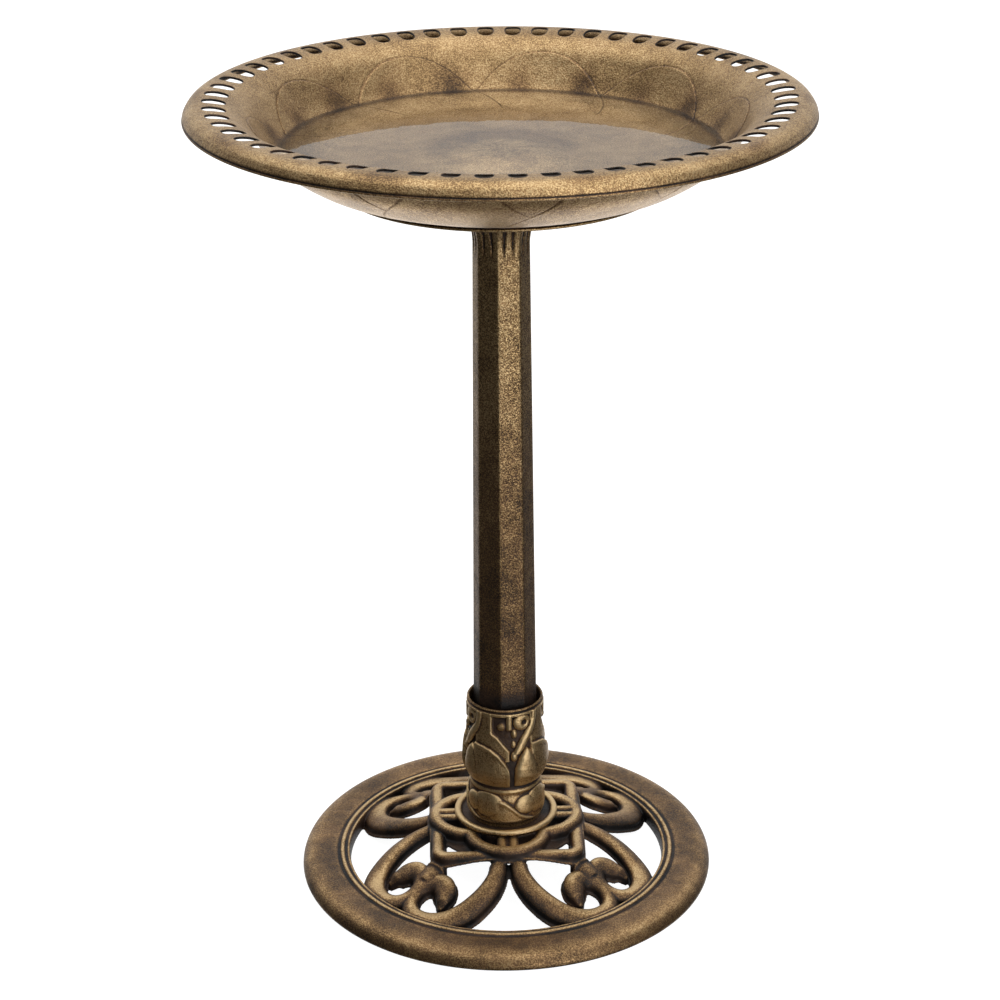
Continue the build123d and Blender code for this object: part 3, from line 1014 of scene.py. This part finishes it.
def hub_plate():
    """Disc in the middle of the casting, with a skirt under its edge."""
    profile = rounded_path([
        (4.3, 38), (38, 38), (38.4, 31.2), (41.8, 31.2), (42.4, 37), (44.4, 38.2), (44.4, 46.2), (43.6, 47),
        (4.3, 47), (4.3, 38),
    ], 0.6, 1.2)
    return turned(profile, 160)


def remesh(obj, voxel):
    """Unites the overlapping bars in one closed skin, voxel mm fine, and softens it."""
    mod = obj.modifiers.new("union", "REMESH")
    mod.mode = "VOXEL"
    mod.voxel_size = voxel * MM
    mod.adaptivity = 0
    smooth = obj.modifiers.new("soften", "SMOOTH")
    smooth.factor = 0.5
    smooth.iterations = 3
    dg = bpy.context.evaluated_depsgraph_get()
    mesh = bpy.data.meshes.new_from_object(obj.evaluated_get(dg))
    obj.modifiers.clear()
    obj.data = mesh
    mesh.shade_smooth()
    return obj


def settle(obj):
    """Bring the points that the smoothing left just under the floor back onto it."""
    co = coords(obj)
    co[:, 2] = np.maximum(co[:, 2], 0.02)
    obj.data.vertices.foreach_set("co", (co * MM).ravel())
    obj.data.update()


def build_base():
    parts = []
    quarter = [scroll_bar(), lobe_bar(), *rib_bars(), *stub_bars()]
    points, quads = scroll_bar()
    quarter.append((across_diagonal(points), quads[:, ::-1]))
    for points, quads in quarter:
        for turned in quarter_turns(points):
            parts.append((turned, quads))
    parts.append(square_bar())
    parts.append(web_plate())
    ring = ring_profile()
    parts.append((turned_rows(ring, azimuths(720)).reshape(-1, 3), ring_quads(len(ring), 720)))
    parts.append(hub_plate())
    points, quads = join_points(parts)
    obj = clean(make_mesh("base_casting", turned_about_axis(points, CASTING_TURN), quads))
    obj = remesh(obj, 0.85)
    settle(obj)
    paint_base_wear_and_light(obj)
    return obj


def paint_base_wear_and_light(obj):
    """Painted shade on the sides, underneath and behind the lattice, and dark in the grooves; gold on the
    beads, and painted highlights on the crowns and the ring's outer roll.
    """
    co, normal = coords(obj), normals(obj)
    _, r = plan(co)
    z = co[:, 2]
    wide = hollowness(obj, 30, 0.9)
    tight = hollowness(obj, 8, 0.3)
    # painted shade on the openwork: its upright sides, the ledge at its foot and its sloping shoulders
    upright = 1 - smoothstep(normal[:, 2], 0.05, 0.45)
    openwork = 1 - smoothstep(r, 142.4, 143.2)
    shoulder_shade = (1 - smoothstep(normal[:, 2], 0.55, 0.92)) * 0.4
    ledge_shade = smoothstep(dome_z(r) - z, 7.5, 9.0) * 0.5 * (r < 142)
    side = openwork * np.maximum.reduce([upright * 0.95, ledge_shade, shoulder_shade])
    grooves = (0.85 * bell(r - GROOVE_R[0], 0.9) + 0.85 * bell(r - GROOVE_R[1], 1.1)) * (z > 8)
    # painted shade on the undersides
    under = (normal[:, 2] < -0.3) * 0.95
    # painted shade: black behind the lattice and under the hub
    straight = turned_about_axis(co, -CASTING_TURN)
    within = np.abs(straight[:, :2]).max(1) < 57.5
    shade_behind_lattice = np.maximum((r < 45.5) * (z < 46.5), within * (1 - smoothstep(z, 40.0, 42.5)))
    creases = np.maximum(wide, 0) * 0.7 + np.maximum(tight, 0) * 0.5
    store(obj, "patina_and_shade", np.clip(np.maximum.reduce([side, grooves, under, shade_behind_lattice]) + creases, 0, 1))
    edges = np.maximum(-wide, 0) * 0.45 + np.maximum(-tight, 0) * 0.35
    # painted highlight on the upward-facing crowns of the openwork
    crown = openwork * smoothstep(normal[:, 2], 0.88, 1.0) * 0.75
    bead = (bell(r - BEAD_R, 1.3) * 0.5 + bell(r - RING_LIP_R, 0.7) * 0.35) * (z > 8)
    # painted highlight along the ring's outer roll
    rim = bell(r - 177.5, 6.0) * 0.25 * (z > 4)
    store(obj, "rubbed_and_highlight", np.clip(edges + crown + bead + rim, 0, 1))


# ---- assembly -----------------------------------------------------------------------------------
def dress(obj, material, body, node=None):
    """Gives a piece its material and its body, and hides the CAD node that it stands for."""
    obj.data.materials.clear()
    obj.data.materials.append(material)
    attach(obj, body)
    if node:
        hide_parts(node)


def paint_node(node, material):
    """Gives a CAD node that stays in view its material."""
    obj = frame["nodes"][node]
    for slot in obj.material_slots:
        slot.material = material
    if not obj.material_slots:
        obj.data.materials.append(material)


basin_bronze = antique_bronze("bronze_basin", gold=0.80, speckle=0.40, cloud=0.16, rub_and_highlight_gold=0.1, stain=0.34)
post_bronze = antique_bronze("bronze_post", gold=0.60, speckle=0.62, cloud=0.22, rub_and_highlight_gold=0.3, seed=5.0)
leaf_bronze = antique_bronze("bronze_leaf", gold=0.83, speckle=0.44, cloud=0.2, rub_and_highlight_gold=0.45, seed=9.0)
base_bronze = antique_bronze("bronze_base", gold=0.53, speckle=0.42, cloud=0.22, rub_and_highlight_gold=0.45, seed=13.0)

dress(build_basin(), basin_bronze, "basin", "basin")
dress(build_water(), clear_water(), "basin")
dress(build_pole(), post_bronze, "stand", "pole")
dress(build_collar(), leaf_bronze, "stand", "leaf_collar")
dress(build_hub(), leaf_bronze, "stand", "hub_disc")
dress(build_base(), base_bronze, "stand", "base")
plastic = black_plastic()
for node in ("basin_socket", "top_spigot", "bottom_plug"):
    paint_node(node, plastic)
steel = zinc_steel()
for node in ("socket_screws", "tie_rod", "rod_top_washer", "rod_top_nut", "rod_base_washer", "rod_base_nut"):
    paint_node(node, steel)


# ---- floor, light, camera -----------------------------------------------------------------------
FLOOR_HALF = 9.0                # metres
FLOOR_DROP = 0.0004             # metres, so that the foot ring and the floor don't share a plane
LENS = 90.04                    # mm, for a sensor 36 mm wide
CAMERA_PLACE = (-0.0028, -1.9693, 1.2144)
CAMERA_DOWN = 23.56             # degrees below level
CAMERA_ROLL = -0.0088           # radians


def floor():
    s = Shader("pale_floor")
    mottle = s.noise(400, 2.0, 0.5)
    s.set(
        Base_Color=s.ramp(mottle, [(0, (0.30, 0.30, 0.30)), (1, (0.34, 0.34, 0.34))]),
        Roughness=0.9,
        Emission_Color=(1, 1, 1, 1),
        Emission_Strength=0.96,
    )
    corners = np.array([(-1, -1, 0), (1, -1, 0), (1, 1, 0), (-1, 1, 0)]) * FLOOR_HALF
    obj = make_mesh("studio_floor", corners / MM, [[0, 1, 2, 3]])
    obj.data.materials.append(s.material)
    obj.location.z = -FLOOR_DROP
    obj.visible_diffuse = False
    obj.visible_glossy = False


def from_angles(az, elevation):
    """Unit vector towards an azimuth and a height above level, in degrees."""
    a, e = math.radians(az), math.radians(elevation)
    return (math.sin(a) * math.cos(e), -math.cos(a) * math.cos(e), math.sin(e))


def softbox(name, az, elevation, distance, size, power, aim):
    light = bpy.data.lights.new(name, "AREA")
    light.shape = "RECTANGLE"
    light.size, light.size_y = size
    light.energy = power
    obj = bpy.data.objects.new(name, light)
    target = Vector(aim)
    obj.location = target + distance * Vector(from_angles(az, elevation))
    obj.rotation_euler = (target - obj.location).to_track_quat("-Z", "Y").to_euler()
    bpy.context.scene.collection.objects.link(obj)


def camera():
    data = bpy.data.cameras.new("camera")
    data.sensor_width = 36
    data.lens = LENS
    data.clip_end = 100
    obj = bpy.data.objects.new("camera", data)
    obj.location = CAMERA_PLACE
    tilt = Matrix.Rotation(math.radians(90 - CAMERA_DOWN), 4, "X")
    obj.rotation_euler = (tilt @ Matrix.Rotation(CAMERA_ROLL, 4, "Z")).to_euler()
    bpy.context.scene.collection.objects.link(obj)
    bpy.context.scene.camera = obj


def world():
    """White studio round the back, a bright card front right, a pale ceiling and a dim front left."""
    w = bpy.data.worlds.new("studio")
    w.use_nodes = True
    tree = w.node_tree
    place = tree.nodes.new("ShaderNodeTexCoord")

    def glow(az, elevation, start, full, strength):
        """Light from round one direction: none beyond start degrees from it, all within full degrees."""
        facing = tree.nodes.new("ShaderNodeVectorMath")
        facing.operation = "DOT_PRODUCT"
        facing.inputs[1].default_value = from_angles(az, elevation)
        tree.links.new(place.outputs["Generated"], facing.inputs[0])
        spread = tree.nodes.new("ShaderNodeMapRange")
        spread.interpolation_type = "SMOOTHSTEP"
        edges = (0.0, math.cos(math.radians(start)), math.cos(math.radians(full)), 0.0, strength)
        for socket, value in zip(spread.inputs, edges):
            socket.default_value = value
        tree.links.new(facing.outputs["Value"], spread.inputs[0])
        return spread.outputs[0]

    total = None
    for lit in (glow(180, 30, 75, 40, 0.8), glow(31, -2, 27, 12, 2.9), glow(38, 38, 30, 12, 0.45),
                glow(0, 90, 48, 20, 1.5), glow(180, -55, 44, 18, 1.6)):
        add = tree.nodes.new("ShaderNodeMath")
        add.operation = "ADD"
        add.inputs[1].default_value = 0.07
        if total is not None:
            tree.links.new(total, add.inputs[1])
        tree.links.new(lit, add.inputs[0])
        total = add.outputs[0]
    back = tree.nodes["Background"]
    back.inputs[0].default_value = (1, 1, 1, 1)
    tree.links.new(total, back.inputs[1])
    bpy.context.scene.world = w


floor()
world()
softbox("key", 33, 40, 1.9, (0.5, 0.9), 7, aim=(0, 0, 0.45))
camera()
bpy.context.scene.view_settings.view_transform = "Standard"
